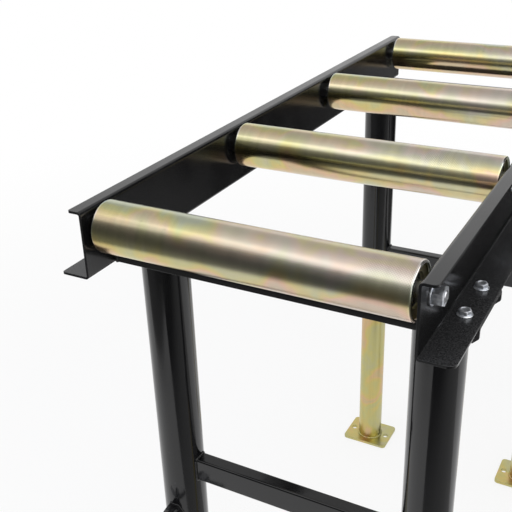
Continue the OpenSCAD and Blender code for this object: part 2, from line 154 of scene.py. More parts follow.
# Softbox
# A long softbox overhead and in front, parallel to the rollers, which lights the stand. Gloss sees the
# softbox card in its place, which is brighter in its middle, as a real softbox is.
softbox_low = Vector((0, -1.97, 2.37))
softbox_high = Vector((0, -1.115, 2.867))
softbox_len = 3.8
softbox_brightness = 1.75
slope = softbox_high - softbox_low
softbox_lamp = bpy.data.lights.new("softbox", "AREA")
softbox_lamp.shape = "RECTANGLE"
softbox_lamp.size = softbox_len
softbox_lamp.size_y = slope.length
softbox_lamp.energy = softbox_brightness * pi * softbox_len * slope.length
softbox_lamp.color = (0.95, 0.99, 1.12)
softbox = bpy.data.objects.new("softbox", softbox_lamp)
softbox.matrix_world = (
    Matrix.Translation((softbox_low + softbox_high) / 2)
    @ Matrix.Rotation(atan2(slope.z, slope.y), 4, "X")
)
softbox.visible_camera = False
softbox.visible_glossy = False
scene.collection.objects.link(softbox)


# Studio cards
# Around the white sheet that the stand is on, the studio is dark. Grey and black cards on the floor
# and in front stand for that, with glowing ones for the ceiling and at the right, which are no lamps.
# Only gloss sees them: they are painted reflections, and they neither light nor shade the stand.
def colour_ramp(tree, factor, stops):
    """The colour from a Color Ramp. A stop is (position, (red, green, blue))."""
    ramp = add_node(tree, "ShaderNodeValToRGB", {0: factor})
    for number, (position, colour) in enumerate(stops):
        if number > 1:
            ramp.color_ramp.elements.new(1)
        element = ramp.color_ramp.elements[number]
        element.position = position
        element.color = (*colour, 1)
    return ramp.outputs["Color"]


def card(name, corner, across, up, along, stops):
    """A card from one corner across and up, which only reflections show. Its brightness blends between
    stops, which are (distance, brightness), where the distance grows in the direction along."""
    corner, across, up = Vector(corner), Vector(across), Vector(up)
    piece = flat_piece(name, [corner, corner + across, corner + across + up, corner + up])
    piece.visible_camera = False
    piece.visible_diffuse = False
    piece.visible_transmission = False
    piece.visible_shadow = False
    material = bpy.data.materials.new(name)
    piece.data.materials.append(material)
    tree = empty_nodes(material)
    distance = add_node(tree, "ShaderNodeVectorMath", {0: object_place(tree), 1: along},
                        operation="DOT_PRODUCT").outputs["Value"]
    first, last = stops[0][0], stops[-1][0]
    share = add_node(tree, "ShaderNodeMapRange", {"Value": distance, "From Min": first, "From Max": last})
    shades = colour_ramp(tree, share.outputs["Result"],
                         [((at - first) / (last - first), (shade, shade, shade)) for at, shade in stops])
    glow = add_node(tree, "ShaderNodeEmission", {"Color": shades, "Strength": 1})
    add_node(tree, "ShaderNodeOutputMaterial", {"Surface": glow.outputs[0]})


card_half = 5
card_lift = 0.002
front_y = -1.7
left_card_x = 0.12
left_card_y = -1
right_card_y = -0.05
rear_card_x = 0.35
rear_card_y = 0.9
rear_card_len = 8.1
flag_x = 0.45
flag_y = 1.6
flag_width = 2.55
flag_height = 3.4
flag_shade = 0.02
ceiling_end = 2.75
side_low = Vector((1.6, -1.9, 1.1))
side_len = 2.9
side_height = 1.7
side_brightness = 1.9
rising = (0.5, 0, 1)
receding = (0.5, 0.866, 0)
card("front_card", (-card_half, front_y, 0), (2 * card_half, 0, 0),
     (0, softbox_low.y - front_y, softbox_low.z), rising,
     [(-0.43, 0.2), (-0.13, 0.13), (0.12, 0.085), (0.57, 0.075), (0.87, 0.11), (1.17, 0.18),
      (1.37, 0.25), (1.57, 0.34), (1.77, 0.56), (1.95, 1)])
card("softbox_card", (-softbox_len / 2, *softbox_low.yz), (softbox_len, 0, 0), slope, rising,
     [(1.87, 1), (1.95, 1.25), (2.03, 1.75), (2.13, 2.05), (2.25, 2), (2.37, 1.7), (2.47, 1.45)])
card("floor_card_left", (-card_half, front_y, card_lift), (card_half + left_card_x, 0, 0),
     (0, left_card_y - front_y, 0), receding,
     [(-1.7, 0.2), (-1.55, 0.26), (-1.48, 0.5), (-1.38, 0.88), (-1.1, 0.98)])
card("floor_card_right", (left_card_x, front_y, card_lift), (card_half - left_card_x, 0, 0),
     (0, right_card_y - front_y, 0), (0, 1, 0),
     [(front_y, 0.03), (-1.35, 0.05), (-1.1, 0.2), (-0.85, 0.32), (right_card_y, 0.45)])
card("floor_card_rear", (rear_card_x, rear_card_y, card_lift), (card_half - rear_card_x, 0, 0),
     (0, rear_card_len, 0), (1, 0, 0), [(rear_card_x, 0.13), (0.8, 0.16), (1.05, 0.22), (card_half, 0.25)])
card("rear_flag", (flag_x, flag_y, 0), (flag_width, 0, 0), (0, 0, flag_height), (1, 0, 0),
     [(0, flag_shade), (1, flag_shade)])
card("ceiling_card", (-card_half, softbox_high.y, softbox_high.z), (2 * card_half, 0, 0),
     (0, ceiling_end - softbox_high.y, 0), (0, 1, 0),
     [(softbox_high.y, 1.25), (-0.85, 1.1), (-0.6, 0.98), (-0.15, 0.8), (0.1, 0.73), (0.6, 0.66),
      (1, 0.62), (ceiling_end, 0.65)])
# A glowing card at the right, which is no lamp: it paints the bright reflections on the rims and nuts.
card("side_card", side_low, (0, side_len, 0), (0, 0, side_height), (0, 0, 1),
     [(side_low.z, side_brightness), (side_low.z + side_height, side_brightness)])


# Side rails
# Two channels folded from 3 mm sheet, with a narrow flange on top and a wide one below. Their cut
# edges are eased. Their satin black paint has a fine grain, dust lies on the wide flanges, and a
# painted highlight runs along the bends there.
def node_group(name, kind, inputs, outputs):
    """A node group with named sockets, its input node and its output node."""
    tree = bpy.data.node_groups.new(name, kind)
    for side, sockets in (("INPUT", inputs), ("OUTPUT", outputs)):
        for socket, (socket_type, value) in sockets.items():
            made = tree.interface.new_socket(socket, in_out=side, socket_type="NodeSocket" + socket_type)
            if value is not None:
                made.default_value = value
    return tree, tree.nodes.new("NodeGroupInput"), tree.nodes.new("NodeGroupOutput")


def link_all(tree, node, sources):
    """Links sockets to a node's named inputs."""
    for name, source in sources.items():
        tree.links.new(source, node.inputs[name])


def mixed_colour(tree, factor, first, second, blend="MIX"):
    """The colour from a Mix node, whose colour inputs share their names and so go by number."""
    return add_node(tree, "ShaderNodeMix", {0: factor, 6: first, 7: second}, data_type="RGBA",
                    blend_type=blend).outputs[2]


def noise(tree, place, scale, detail, **others):
    """The value of a Noise Texture."""
    return add_node(tree, "ShaderNodeTexNoise", {"Vector": place, "Scale": scale, "Detail": detail,
                                                 **others}).outputs[0]


skin_outputs = {"Color": ("Color", None), "Roughness": ("Float", None), "Height": ("Float", None)}
paint_skin, given, result = node_group(
    "paint_skin", "ShaderNodeTree",
    {"Paint": ("Color", (0.01, 0.01, 0.01, 1)), "Speck": ("Color", (0.1, 0.1, 0.1, 1)),
     "Dust And Highlight": ("Float", 0), "Dust And Highlight Colour": ("Color", (0.075, 0.075, 0.075, 1)),
     "Roughness": ("Float", 0.3), "Grain Scale": ("Float", 500), "Speck Scale": ("Float", 90),
     "Speck Size": ("Float", 0.05)}, skin_outputs)
place = object_place(paint_skin)
grain = noise(paint_skin, place, given.outputs["Grain Scale"], detail=2)
cloud = noise(paint_skin, place, scale=16, detail=3)
cells = add_node(paint_skin, "ShaderNodeTexVoronoi", {"Vector": place,
                                                      "Scale": given.outputs["Speck Scale"]})
speck = maths(paint_skin, "LESS_THAN", cells.outputs["Distance"], given.outputs["Speck Size"])
rougher = smooth_step(paint_skin, cloud, 0.3, 0.7, -0.04, 0.05)
rough = maths(paint_skin, "ADD", given.outputs["Roughness"], rougher)
raised = maths(paint_skin, "MULTIPLY_ADD", speck, 0.4, grain)
facing = add_node(paint_skin, "ShaderNodeTexCoord").outputs["Normal"]
upward = add_node(paint_skin, "ShaderNodeSeparateXYZ", {0: facing}).outputs["Z"]
settling = noise(paint_skin, place, scale=560, detail=4, Roughness=0.7)
patchy = smooth_step(paint_skin, settling, 0.36, 0.66)
on_flats = maths(paint_skin, "MULTIPLY", smooth_step(paint_skin, patchy, 0, 1, 0.2, 0.5),
                 smooth_step(paint_skin, upward, 0.8, 0.98))
# Faces that slope halfway between level and upright, as in the bends, get the lighter colour as well: a
# painted highlight, mixed in with the dust.
off_slope = maths(paint_skin, "ABSOLUTE", maths(paint_skin, "SUBTRACT", upward, 0.5))
bend_highlight_paint = maths(paint_skin, "MULTIPLY", smooth_step(paint_skin, patchy, 0, 1, 0.4, 1),
                 smooth_step(paint_skin, off_slope, 0.5, 0.1, 0, 0.4))
dust_and_bend_highlight = maths(paint_skin, "ADD", on_flats, bend_highlight_paint)
dust_and_highlight_share = maths(paint_skin, "MULTIPLY", dust_and_bend_highlight, given.outputs["Dust And Highlight"])
speckled = mixed_colour(paint_skin, speck, given.outputs["Paint"], given.outputs["Speck"])
link_all(paint_skin, result, {
    "Color": mixed_colour(paint_skin, dust_and_highlight_share, speckled, given.outputs["Dust And Highlight Colour"]),
    "Roughness": rough, "Height": raised})


def finished_material(name, skin, skin_inputs, bump_depth, **shader_inputs):
    """A Principled material whose colour, roughness and bump come from a skin group."""
    material = bpy.data.materials.new(name)
    tree = empty_nodes(material)
    group = add_node(tree, "ShaderNodeGroup", node_tree=skin, name="skin")
    for socket, value in skin_inputs.items():
        group.inputs[socket].default_value = value
    bump = add_node(tree, "ShaderNodeBump", {"Height": group.outputs["Height"], "Distance": bump_depth})
    shader = add_node(tree, "ShaderNodeBsdfPrincipled", {
        "Base Color": group.outputs["Color"], "Roughness": group.outputs["Roughness"],
        "Normal": bump.outputs["Normal"]})
    for socket, value in shader_inputs.items():
        shader.inputs[socket].default_value = value
    add_node(tree, "ShaderNodeOutputMaterial", {"Surface": shader.outputs[0]})
    return material


def new_piece(name, mesh, material, body, slot, *nodes):
    """A piece that rides on a body with the given material, and may stand for some nodes. Its slot is not
    used.
    """
    mesh.materials.clear()
    mesh.materials.append(material)
    piece = bpy.data.objects.new(name, mesh)
    scene.collection.objects.link(piece)
    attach(piece, body)
    if nodes:
        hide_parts(*nodes)
    return piece


merge_distance = 2e-6
flat_limit = radians(0.6)
corner_limit = radians(38)
smooth_limit = radians(32)


def merged_shape(*nodes):
    """The solids of these nodes, copied, with the corners that their triangles share merged."""
    shape = bmesh.new()
    for node in nodes:
        shape.from_mesh(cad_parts[node].data)
    bmesh.ops.remove_doubles(shape, verts=shape.verts, dist=merge_distance)
    return shape


def eased_piece(name, body, slot, material, edge, *nodes):
    """One piece for these nodes: their facets joined into flat faces and their cut edges eased."""
    shape = merged_shape(*nodes)
    bmesh.ops.dissolve_limit(shape, angle_limit=flat_limit, verts=shape.verts, edges=shape.edges,
                             use_dissolve_boundaries=False)
    mesh = bpy.data.meshes.new(name)
    shape.to_mesh(mesh)
    shape.free()
    mesh.set_sharp_from_angle(angle=smooth_limit)
    piece = new_piece(name, mesh, material, body, slot, *nodes)
    bevel = piece.modifiers.new("eased_edges", "BEVEL")
    bevel.width = edge
    bevel.segments = 2
    bevel.limit_method = "ANGLE"
    bevel.angle_limit = corner_limit
    bevel.use_clamp_overlap = False
    weighted = piece.modifiers.new("flat_faces", "WEIGHTED_NORMAL")
    weighted.keep_sharp = False


def finish_nodes(material, *nodes):
    """Gives CAD nodes a material."""
    for node in nodes:
        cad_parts[node].material_slots[0].material = material


rail_paint = finished_material(
    "rail_paint", paint_skin,
    {"Paint": (0.0055, 0.0055, 0.006, 1), "Speck": (0.04, 0.04, 0.04, 1), "Roughness": 0.2,
     "Grain Scale": 620, "Speck Scale": 120, "Speck Size": 0.045}, 0.00003, IOR=1.5)
sheet = 0.003
flange_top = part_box("rail_right")[0].z + sheet
fold = 0.002
tree = rail_paint.node_tree
height = add_node(tree, "ShaderNodeSeparateXYZ", {0: object_place(tree)}).outputs["Z"]
# Up to just above the wide flanges, the paint takes dust on level faces and a painted highlight on its
# bends.
near_flange = smooth_step(tree, height, flange_top + fold, flange_top + 2 * fold, 1, 0)
link_all(tree, tree.nodes["skin"], {"Dust And Highlight": near_flange})
rail_edge = 0.0003
for side in ("left", "right"):
    eased_piece(f"side_rail_{side}", "frame", "rail_paint", rail_paint, rail_edge, f"rail_{side}")


# Cross bars
# Shallow folded channels between the rails near both ends, level with the rails' bottoms. A bead of
# weld runs over each end, up one side, across the top and down the other.
def made_by_nodes(name, mesh, tree, inputs):
    """Runs a Geometry Nodes tree on a mesh once and returns the result as a plain mesh."""
    maker = bpy.data.objects.new(name, mesh)
    scene.collection.objects.link(maker)
    modifier = maker.modifiers.new(name, "NODES")
    modifier.node_group = tree
    for item in tree.interface.items_tree:
        if item.in_out == "INPUT" and item.name in inputs:
            modifier[item.identifier] = inputs[item.name]
    view = bpy.context.evaluated_depsgraph_get()
    made = bpy.data.meshes.new_from_object(maker.evaluated_get(view), depsgraph=view)
    made.name = name
    maker.modifiers.remove(modifier)
    bpy.data.objects.remove(maker)
    return made


def put_out(tree, geometry, given, result):
    """Makes the geometry real, gives it the tree's material and puts it out."""
    real = add_node(tree, "GeometryNodeRealizeInstances", {"Geometry": geometry})
    coated = add_node(tree, "GeometryNodeSetMaterial", {"Geometry": real.outputs[0],
                                                        "Material": given.outputs["Material"]})
    tree.links.new(coated.outputs[0], result.inputs[0])


steps_per_ripple = 5
bead_tree, given, result = node_group(
    "weld_bead", "GeometryNodeTree",
    {"Geometry": ("Geometry", None), "Bead Radius": ("Float", 0.0025), "Ripple Length": ("Float", 0.002),
     "Ripple Depth": ("Float", 0.16), "Waviness": ("Float", 0.2), "Seed": ("Int", 1),
     "Material": ("Material", None)},
    {"Geometry": ("Geometry", None)})
ripple_len = given.outputs["Ripple Length"]
path = add_node(bead_tree, "GeometryNodeMeshToCurve", {"Mesh": given.outputs["Geometry"]})
steps = add_node(bead_tree, "GeometryNodeResampleCurve", {"Curve": path.outputs[0]}, mode="LENGTH")
link_all(bead_tree, steps, {"Length": maths(bead_tree, "DIVIDE", ripple_len, steps_per_ripple)})
run = add_node(bead_tree, "GeometryNodeSplineParameter").outputs["Length"]
turn = maths(bead_tree, "MULTIPLY", maths(bead_tree, "DIVIDE", run, ripple_len), pi)
crest = maths(bead_tree, "ABSOLUTE", maths(bead_tree, "SINE", turn))
ripple = maths(bead_tree, "MULTIPLY_ADD", crest, given.outputs["Ripple Depth"], 1)
wander = add_node(bead_tree, "ShaderNodeTexNoise", {"W": given.outputs["Seed"], "Scale": 130, "Detail": 1},
                  noise_dimensions="4D").outputs[0]
uneven = maths(bead_tree, "SUBTRACT", wander, 0.5)
swell = maths(bead_tree, "MULTIPLY_ADD", uneven, given.outputs["Waviness"], ripple)
section = add_node(bead_tree, "GeometryNodeCurvePrimitiveCircle", {
    "Resolution": 12, "Radius": given.outputs["Bead Radius"]})
bead = add_node(bead_tree, "GeometryNodeCurveToMesh", {
    "Curve": steps.outputs[0], "Scale": swell, "Profile Curve": section.outputs["Curve"],
    "Fill Caps": True})
smooth = add_node(bead_tree, "GeometryNodeSetShadeSmooth", {"Geometry": bead.outputs[0]})
put_out(bead_tree, smooth.outputs[0], given, result)


def weld(name, body, slot, material, bead_radius, paths, seed):
    """Beads of weld along these paths. A path is a list of points, and whether it closes."""
    points = []
    edges = []
    for path, closed in paths:
        first = len(points)
        points += path
        edges += [(first + i, first + i + 1) for i in range(len(path) - 1)]
        if closed:
            edges.append((len(points) - 1, first))
    mesh = bpy.data.meshes.new(name)
    mesh.from_pydata(points, edges, [])
    made = made_by_nodes(name, mesh, bead_tree, {"Bead Radius": bead_radius, "Seed": seed,
                                                 "Material": material})
    new_piece(name, made, material, body, slot)


bar_bead = 0.0018
bar_paths = []
for end in ("front", "rear"):
    eased_piece(f"folded_bar_{end}", "frame", "rail_paint", rail_paint, rail_edge, f"cross_bar_{end}")
    low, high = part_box(f"cross_bar_{end}")
    for x in (low.x, high.x):
        bar_paths.append(([(x, low.y, low.z), (x, low.y, high.z), (x, high.y, high.z), (x, high.y, low.z)],
                          False))
weld("cross_bar_welds", "frame", "rail_paint", rail_paint, bar_bead, bar_paths, seed=3)

# Roller tubes
# Steel tubes, 60 mm across, with rolled-in ends. Their yellow plating is a thin film with patches of
# green, gold and rose, over turning marks and a fine hatch. At the rims it is painted paler and
# brighter: partly wear, partly a painted highlight.
turned_marks, given, result = node_group(
    "turned_marks", "ShaderNodeTree",
    {"Fine": ("Vector", (900, 25, 25)), "Broad": ("Vector", (120, 8, 8)), "Groove Scale": ("Float", 190)},
    {"Mask": ("Float", None), "Height": ("Float", None)})
place = object_place(turned_marks)
noises = []
for size in ("Fine", "Broad"):
    spread = add_node(turned_marks, "ShaderNodeVectorMath", {0: place, 1: given.outputs[size]},
                      operation="MULTIPLY")
    noises.append(noise(turned_marks, spread.outputs[0], scale=1, detail=2))
groove = add_node(turned_marks, "ShaderNodeTexWave", {
    "Vector": place, "Scale": given.outputs["Groove Scale"], "Distortion": 0.6, "Detail": 1},
    bands_direction="X").outputs["Fac"]
mean = maths(turned_marks, "MULTIPLY", maths(turned_marks, "ADD", *noises), 0.5)
height = maths(turned_marks, "MULTIPLY_ADD", groove, 0.5, noises[0])
link_all(turned_marks, result, {"Mask": mean, "Height": height})

plated_film, given, result = node_group(
    "plated_film", "ShaderNodeTree",
    {"Tone": ("Color", (1, 1, 1, 1)), "Thickness": ("Float", 0.5), "Patchiness": ("Float", 0.9),
     "Patch Scale": ("Float", 22), "Stretch": ("Vector", (1, 1, 1)), "Seed": ("Float", 1),
     "Roughness": ("Float", 0.2), "Marks": ("Float", 0.5), "Marks Height": ("Float", 0.5)}, skin_outputs)
film_tints = [(0, (0.47, 0.51, 0.42)), (0.12, (0.53, 0.54, 0.32)), (0.22, (0.59, 0.53, 0.3)),
              (0.32, (0.6, 0.5, 0.38)), (0.42, (0.56, 0.51, 0.4)), (0.54, (0.52, 0.51, 0.36)),
              (0.68, (0.55, 0.53, 0.3)), (0.8, (0.63, 0.53, 0.25)), (0.91, (0.67, 0.48, 0.33)),
              (1, (0.59, 0.49, 0.35))]
place = object_place(plated_film)
spread = add_node(plated_film, "ShaderNodeVectorMath", {0: place, 1: given.outputs["Stretch"]},
                  operation="MULTIPLY")
patches = add_node(plated_film, "ShaderNodeTexNoise", {
    "Vector": spread.outputs[0], "W": given.outputs["Seed"], "Scale": given.outputs["Patch Scale"],
    "Detail": 3, "Distortion": 0.8}, noise_dimensions="4D").outputs[0]
uneven = maths(plated_film, "SUBTRACT", patches, 0.5)
film = maths(plated_film, "MULTIPLY_ADD", uneven, given.outputs["Patchiness"], given.outputs["Thickness"])
tints = colour_ramp(plated_film, film, film_tints)
streaked = smooth_step(plated_film, given.outputs["Marks"], 0.35, 0.65, 0.955, 1.03)
toned = mixed_colour(plated_film, 1, tints, given.outputs["Tone"], "MULTIPLY")
lit = mixed_colour(plated_film, 1, toned, streaked, "MULTIPLY")
cells = add_node(plated_film, "ShaderNodeTexVoronoi", {"Vector": place, "Scale": 70})
fleck = smooth_step(plated_film, cells.outputs["Distance"], 0.03, 0.05, 1, 0)
rougher = smooth_step(plated_film, given.outputs["Marks"], 0.3, 0.7, -0.01, 0.018)
link_all(plated_film, result, {
    "Color": mixed_colour(plated_film, fleck, lit, (0.3, 0.27, 0.18, 1)),
    "Roughness": maths(plated_film, "ADD", given.outputs["Roughness"], rougher),
    "Height": given.outputs["Marks Height"]})


def plated_material(name, skin_inputs, marks_inputs, bump_depth):
    """A passivated material: the film, with turning marks under it."""
    material = finished_material(name, plated_film, skin_inputs, bump_depth, Metallic=1)
    tree = material.node_tree
    marks = add_node(tree, "ShaderNodeGroup", node_tree=turned_marks)
    for socket, value in marks_inputs.items():
        marks.inputs[socket].default_value = value
    link_all(tree, tree.nodes["skin"], {"Marks": marks.outputs["Mask"],
                                        "Marks Height": marks.outputs["Height"]})
    return material


def middle_of(box):
    """The middle of a box, which is its lowest and its highest corner."""
    low, high = box
    return (low + high) / 2


tube_plating = plated_material(
    "yellow_chromate_tube", {"Patchiness": 1.6, "Patch Scale": 12, "Seed": 2}, {}, 0.000006)
roller_low, roller_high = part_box("roller_tube_1")
roller_axis = middle_of((roller_low, roller_high))
roller_radius = (roller_high.z - roller_low.z) / 2
roller_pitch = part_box("roller_tube_2")[0].y - roller_low.y
drained = Vector((-0.5, -0.87)) * 0.45 / roller_radius
film_middle = 0.5
film_on_top = 0.2 / roller_radius
hatch_pitch = 0.0027
hatches_round = round(2 * pi * roller_radius / hatch_pitch)
hatch_depth = 4
near_roughness = 0.245
far_roughness = 0.17
rim_start = roller_high.x - 0.0035
rim_end = roller_high.x - 0.001

tree = tube_plating.node_tree
skin = tree.nodes["skin"]
axes = add_node(tree, "ShaderNodeSeparateXYZ", {0: object_place(tree)})
across = axes.outputs["X"]
beside = maths(tree, "WRAP", axes.outputs["Y"], roller_axis.y + roller_pitch / 2,
               roller_axis.y - roller_pitch / 2)
beside_axis = maths(tree, "SUBTRACT", beside, roller_axis.y)
above_axis = maths(tree, "SUBTRACT", axes.outputs["Z"], roller_axis.z)
level = maths(tree, "MULTIPLY_ADD", beside_axis, drained.x, film_middle)
thickness = maths(tree, "MULTIPLY_ADD", above_axis, drained.y, level)
to_the_right = smooth_step(tree, across, -0.12, 0.14, 0.1, 1)
upper_side = maths(tree, "MAXIMUM", maths(tree, "MULTIPLY", above_axis, to_the_right), 0)
thicker = maths(tree, "MULTIPLY_ADD", upper_side, film_on_top, thickness)

crossing = maths(tree, "MULTIPLY", maths(tree, "ARCTAN2", beside_axis, above_axis), hatches_round)
running = maths(tree, "MULTIPLY", across, 2 * pi / hatch_pitch)
hatch = maths(tree, "MULTIPLY", maths(tree, "SINE", crossing), maths(tree, "SINE", running))
hatch_start = smooth_step(tree, across, -0.14, 0.02)
hatch_fade = smooth_step(tree, across, 0.06, 0.18, 1, 0.42)
hatched = maths(tree, "MULTIPLY", hatch, maths(tree, "MULTIPLY", hatch_start, hatch_fade))
marks = skin.inputs["Marks Height"].links[0].from_socket
grooved = maths(tree, "MULTIPLY_ADD", hatched, hatch_depth, marks)

duller = smooth_step(tree, axes.outputs["Y"], roller_high.y + roller_radius, roller_high.y,
                     far_roughness, near_roughness)
# The rims are painted paler and brighter than the film: partly wear, partly a painted highlight of the
# rolled edge.
rim_wear_and_highlight = smooth_step(tree, maths(tree, "ABSOLUTE", across), rim_start, rim_end)
paler = smooth_step(tree, across, -0.16, 0.12)
film_tone = mixed_colour(tree, paler, (1.01, 0.98, 0.84, 1), (1.01, 1, 1.12, 1))
worn_and_highlit_tone = mixed_colour(tree, rim_wear_and_highlight, film_tone, (1.3, 1.42, 1.75, 1))
rubbed = smooth_step(tree, hatched, -1, 1, 1.32, 0.68)
toned = mixed_colour(tree, 1, worn_and_highlit_tone, rubbed, "MULTIPLY")
link_all(tree, skin, {"Thickness": thicker, "Marks Height": grooved, "Roughness": duller, "Tone": toned})
roller_numbers = (1, 2, 3, 4)
for number in roller_numbers:
    finish_nodes(tube_plating, f"roller_tube_{number}")

# Bearing cups
# Cups pressed from sheet, set into the tube's ends. Each holds a ball bearing behind its face, and it
# is plated like the tube, a little duller.
cup_plating = plated_material(
    "yellow_chromate_cup", {"Tone": (1.2, 1.14, 1.06, 1), "Thickness": 0.6, "Patchiness": 0.6,
                            "Patch Scale": 40, "Roughness": 0.5, "Seed": 5},
    {"Fine": (400, 400, 400), "Broad": (60, 60, 60)}, 0.00002)
for number in roller_numbers:
    finish_nodes(cup_plating, f"bearing_cups_{number}")

# Bearings
# Ground steel rings with eight balls between them. A rubber seal on each face keeps the grease in.
zinc_skin, given, result = node_group(
    "zinc_skin", "ShaderNodeTree",
    {"Bright": ("Color", (0.74, 0.76, 0.8, 1)), "Dull": ("Color", (0.55, 0.57, 0.62, 1)),
     "Roughness": ("Float", 0.25), "Cloud Scale": ("Float", 120), "Grain Scale": ("Float", 1500)},
    skin_outputs)
place = object_place(zinc_skin)
cloud = noise(zinc_skin, place, given.outputs["Cloud Scale"], detail=3)
grain = noise(zinc_skin, place, given.outputs["Grain Scale"], detail=1)
rougher = smooth_step(zinc_skin, cloud, 0.3, 0.7, 0.08, -0.05)
brighter = smooth_step(zinc_skin, cloud, 0.35, 0.65)
link_all(zinc_skin, result, {
    "Color": mixed_colour(zinc_skin, brighter, given.outputs["Dull"], given.outputs["Bright"]),
    "Roughness": maths(zinc_skin, "ADD", given.outputs["Roughness"], rougher), "Height": grain})
bearing_steel = finished_material(
    "bearing_steel", zinc_skin, {"Bright": (0.72, 0.72, 0.73, 1), "Dull": (0.62, 0.62, 0.62, 1),
                                 "Roughness": 0.14}, 0.000005, Metallic=1)
seal_rubber = finished_material(
    "seal_rubber", paint_skin, {"Paint": (0.016, 0.016, 0.017, 1), "Speck": (0.04, 0.04, 0.04, 1),
                                "Roughness": 0.55, "Grain Scale": 1400}, 0.00004, IOR=1.52)
finish_nodes(bearing_steel, "bearing_inner_rings")
for number in roller_numbers:
    finish_nodes(bearing_steel, f"bearing_outer_rings_{number}", f"bearing_balls_{number}")
    finish_nodes(seal_rubber, f"bearing_seals_{number}")


# Axle nuts and washers
# Bright plated steel. The nuts are cold formed: their corners are turned off and their mouths
# countersunk, so each shows a bright ring round the thread's end.
def turned_shape(levels, closed=False, steps=48):
    """A turned shape round Z. A level is (z, radius, flats): where flats isn't 0, the shape is cut to a
    hexagon of that width. It ends in flat caps, unless the last level joins the first."""
    shape = bmesh.new()
    rings = []
    for z, radius, flats in levels:
        ring = []
        for step in range(steps):
            turn = 2 * pi * step / steps
            off_flat = turn % (pi / 3) - pi / 6
            reach = min(radius, flats / 2 / cos(off_flat)) if flats else radius
            ring.append(shape.verts.new((reach * cos(turn), reach * sin(turn), z)))
        rings.append(ring)
    pairs = list(zip(rings, rings[1:]))
    if closed:
        pairs.append((rings[-1], rings[0]))
    else:
        shape.faces.new(rings[0])
        shape.faces.new(rings[-1])
    for below, above in pairs:
        for i in range(steps):
            j = (i + 1) % steps
            shape.faces.new((below[i], below[j], above[j], above[i]))
    bmesh.ops.recalc_face_normals(shape, faces=shape.faces)
    mesh = bpy.data.meshes.new("turned_shape")
    shape.to_mesh(mesh)
    shape.free()
    mesh.set_sharp_from_angle(angle=smooth_limit)
    return mesh


nut_face_share = 0.95
corner_slope_share = 0.6
countersink_share = 0.8


def nut_shape(flats, height, bore, chamfer):
    """A nut that stands on the origin, its corners turned off and both its mouths countersunk."""
    corner = flats / sqrt(3)
    face = flats / 2 * nut_face_share
    half_off = (face + corner) / 2
    slope_end = chamfer * corner_slope_share
    sunk = chamfer * countersink_share
    mouth = bore / 2 + sunk
    return turned_shape([
        (0, face, 0), (slope_end / 2, half_off, flats), (slope_end, corner, flats),
        (height - slope_end, corner, flats), (height - slope_end / 2, half_off, flats),
        (height, face, 0), (height, mouth, 0), (height - sunk, bore / 2, 0),
        (sunk, bore / 2, 0), (0, mouth, 0)], closed=True)


def facing_outward(tree):
    """The rotation that turns the Z axis outwards at each point."""
    outward = add_node(tree, "GeometryNodeInputNamedAttribute", {"Name": "outward"},
                       data_type="FLOAT_VECTOR").outputs[0]
    return add_node(tree, "FunctionNodeAlignRotationToVector", {"Vector": outward}, axis="Z").outputs[0]


placing_tree, given, result = node_group(
    "fastener_placing", "GeometryNodeTree",
    {"Geometry": ("Geometry", None), "Fastener": ("Object", None), "Loosest Turn": ("Float", 0),
     "Seed": ("Int", 1), "Material": ("Material", None)},
    {"Geometry": ("Geometry", None)})
spin = add_node(placing_tree, "FunctionNodeRandomValue", {2: 0, 3: given.outputs["Loosest Turn"],
                                                          "Seed": given.outputs["Seed"]})
about = add_node(placing_tree, "FunctionNodeAxisAngleToRotation", {"Axis": (0, 0, 1),
                                                                   "Angle": spin.outputs[1]})
turned = add_node(placing_tree, "FunctionNodeRotateRotation", {
    "Rotation": facing_outward(placing_tree), "Rotate By": about.outputs[0]}, rotation_space="LOCAL")
fastener = add_node(placing_tree, "GeometryNodeObjectInfo", {"Object": given.outputs["Fastener"]})
placed = add_node(placing_tree, "GeometryNodeInstanceOnPoints", {
    "Points": given.outputs["Geometry"], "Instance": fastener.outputs["Geometry"],
    "Rotation": turned.outputs[0]})
put_out(placing_tree, placed.outputs[0], given, result)


def spot_mesh(name, spots):
    """Points that know which way is outwards. A spot is (place, direction)."""
    points = bpy.data.meshes.new(name)
    points.from_pydata([spot for spot, direction in spots], [], [])
    outward = points.attributes.new("outward", "FLOAT_VECTOR", "POINT")
    outward.data.foreach_set("vector", [value for spot, direction in spots for value in direction])
    return points


def fasteners(name, shape, spots, material, slot, *nodes, loosest_turn=0, seed=1):
    """One piece with a fastener at each spot, which stands for these nodes."""
    pattern = bpy.data.objects.new(name + "_pattern", shape)
    scene.collection.objects.link(pattern)
    mesh = made_by_nodes(name, spot_mesh(name, spots), placing_tree, {
        "Fastener": pattern, "Loosest Turn": loosest_turn, "Seed": seed, "Material": material})
    bpy.data.objects.remove(pattern)
    new_piece(name, mesh, material, "frame", slot, *nodes)


def solid_boxes(node):
    """The lowest and highest corner of each separate solid in a node."""
    shape = merged_shape(node)
    waiting = set(shape.verts)
    boxes = []
    while waiting:
        found = [waiting.pop()]
        for vert in found:
            for edge in vert.link_edges:
                other = edge.other_vert(vert)
                if other in waiting:
                    waiting.remove(other)
                    found.append(other)
        boxes.append((Vector([min(vert.co[axis] for vert in found) for axis in range(3)]),
                      Vector([max(vert.co[axis] for vert in found) for axis in range(3)])))
    shape.free()
    return sorted(boxes, key=lambda box: tuple(round(value, 4) for value in box[0]))


def spots_along_x(boxes):
    """The inner end of each of these solids and its direction away from the stand's middle."""
    spots = []
    for low, high in boxes:
        middle = middle_of((low, high))
        side = 1 if middle.x > 0 else -1
        spots.append(((low.x if side > 0 else high.x, middle.y, middle.z), (side, 0, 0)))
    return spots


